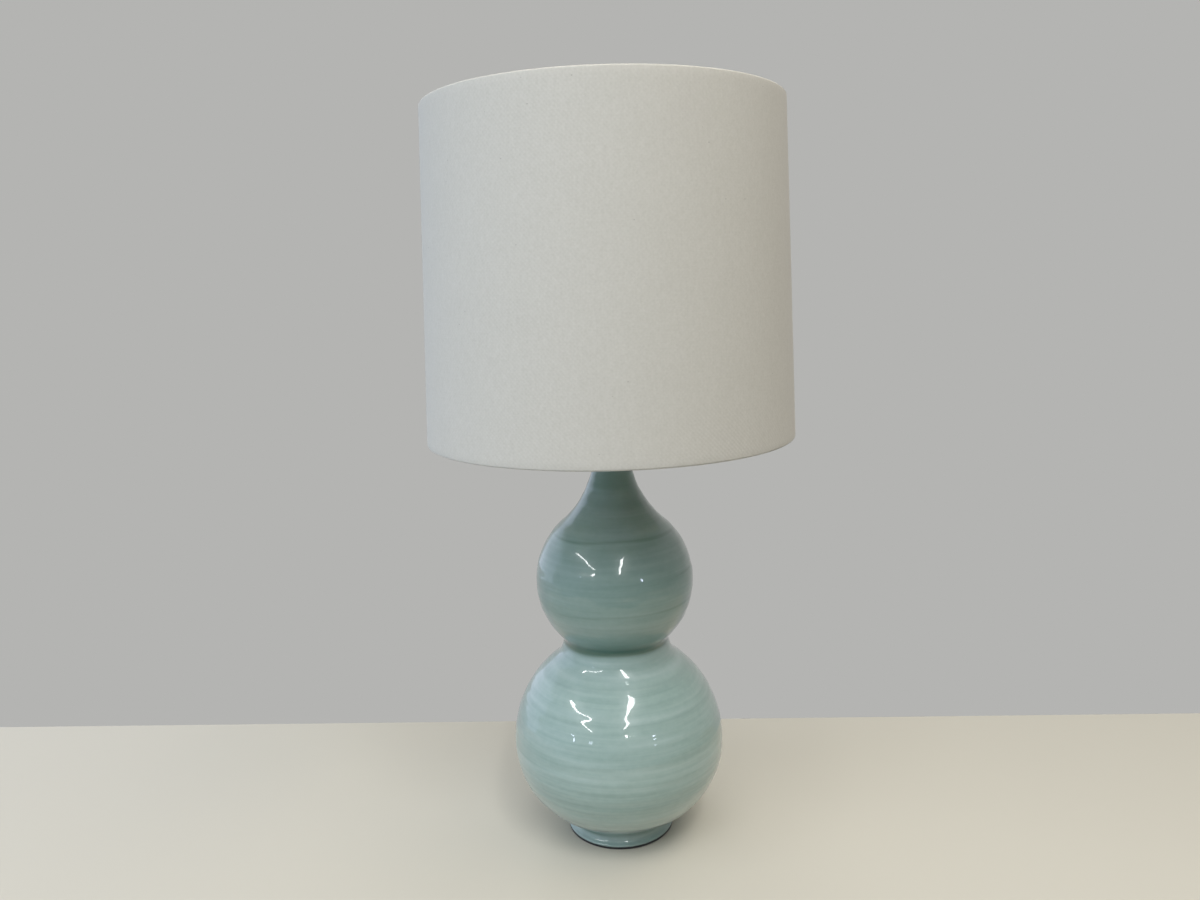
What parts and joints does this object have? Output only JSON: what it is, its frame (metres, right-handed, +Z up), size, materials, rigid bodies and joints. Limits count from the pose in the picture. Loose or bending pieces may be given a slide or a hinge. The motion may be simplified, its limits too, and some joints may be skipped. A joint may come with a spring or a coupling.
{
  "type": "table lamp",
  "caption": "Table lamp: glazed double-gourd body on a flared foot ring, and a linen drum shade held by a harp, spider and finial over a screw bulb in a turn-knob socket.",
  "frame": {"origin": "on the table, under the lamp's axis: the centre of the felt's underside", "axes": "+Z up the lamp's axis; -Y is the front, where the switch knob points; the cord hole is at the back; the harp stands in the XZ plane"},
  "size_m": [0.381, 0.3808, 0.7869],
  "materials": {
    "black_felt": "pressed wool felt, matte",
    "celadon_glaze": "glossy pooled celadon glaze",
    "brass": "satin lacquered",
    "brass_wire": "bright plated wire and strip",
    "zinc_steel": "zinc plated",
    "contact_brass": "plain rolled",
    "black_phenolic": "moulded",
    "fibre_card": "matte",
    "frosted_glass": "inside frosted",
    "bulb_aluminium": "rolled thread shell",
    "solder": "satin",
    "black_glass": "glossy",
    "linen": "plain woven, matte",
    "styrene": "translucent white",
    "white_wire": "powder coated"
  },
  "bodies": {
    "lamp": {"base_felt": "black_felt", "ceramic_body": "celadon_glaze", "cord_bushing": "black_phenolic", "bottom_washer": "zinc_steel", "bottom_lock_washer": "zinc_steel", "bottom_nut": "zinc_steel", "threaded_rod": "zinc_steel", "vase_cap": "brass", "neck_spacer": "brass", "harp_saddle": "brass_wire", "top_nut": "brass", "harp": "brass_wire", "harp_stud": "brass", "socket_cap": "brass", "cap_set_screw": "zinc_steel", "socket_shell": "brass", "socket_liner": "fibre_card", "switch_block": "black_phenolic", "terminal_screws": "contact_brass", "screw_shell": "contact_brass", "centre_contact": "contact_brass"},
    "switch": {"switch_shaft": "zinc_steel", "switch_knob": "black_phenolic"},
    "bulb_thread": {"bulb_tip": "solder"},
    "bulb": {"bulb_glass": "frosted_glass", "bulb_base": "bulb_aluminium", "bulb_insulator": "black_glass"},
    "shade": {"shade_linen": "linen", "shade_panel": "styrene", "shade_top_ring": "white_wire", "shade_bottom_ring": "white_wire", "spider_hub": "brass_wire", "spider_arms": "brass_wire"},
    "finial": {"finial": "brass"},
    "ferrule_left": {"harp_ferrule_left": "brass"},
    "ferrule_right": {"harp_ferrule_right": "brass"}
  },
  "joints": [
    {"name": "switch_turn", "type": "hinge", "parent": "lamp", "child": "switch", "pos_m": [0, -0.03, 0.478], "axis": [0, -1, 0], "continuous": true},
    {"name": "bulb_lift", "type": "slide", "parent": "lamp", "child": "bulb_thread", "axis": [0, 0, 1], "range_m": [0, 0.0127]},
    {"name": "bulb_turn", "type": "hinge", "parent": "bulb_thread", "child": "bulb", "pos_m": [0, 0, 0.5], "axis": [0, 0, 1], "range_deg": [0, 1265]},
    {"name": "shade_turn", "type": "hinge", "parent": "lamp", "child": "shade", "pos_m": [0, 0, 0.7575], "axis": [0, 0, 1], "continuous": true},
    {"name": "finial_turn", "type": "hinge", "parent": "lamp", "child": "finial", "pos_m": [0, 0, 0.77], "axis": [0, 0, 1], "range_deg": [0, 3960]},
    {"name": "ferrule_left_slide", "type": "slide", "parent": "lamp", "child": "ferrule_left", "axis": [0, 0, 1], "range_m": [0, 0.014]},
    {"name": "ferrule_right_slide", "type": "slide", "parent": "lamp", "child": "ferrule_right", "axis": [0, 0, 1], "range_m": [0, 0.014]}
  ],
  "couplings": [
    {"joint": "bulb_turn", "follows": "bulb_lift", "rad_per_m": 1731.4}
  ]
}
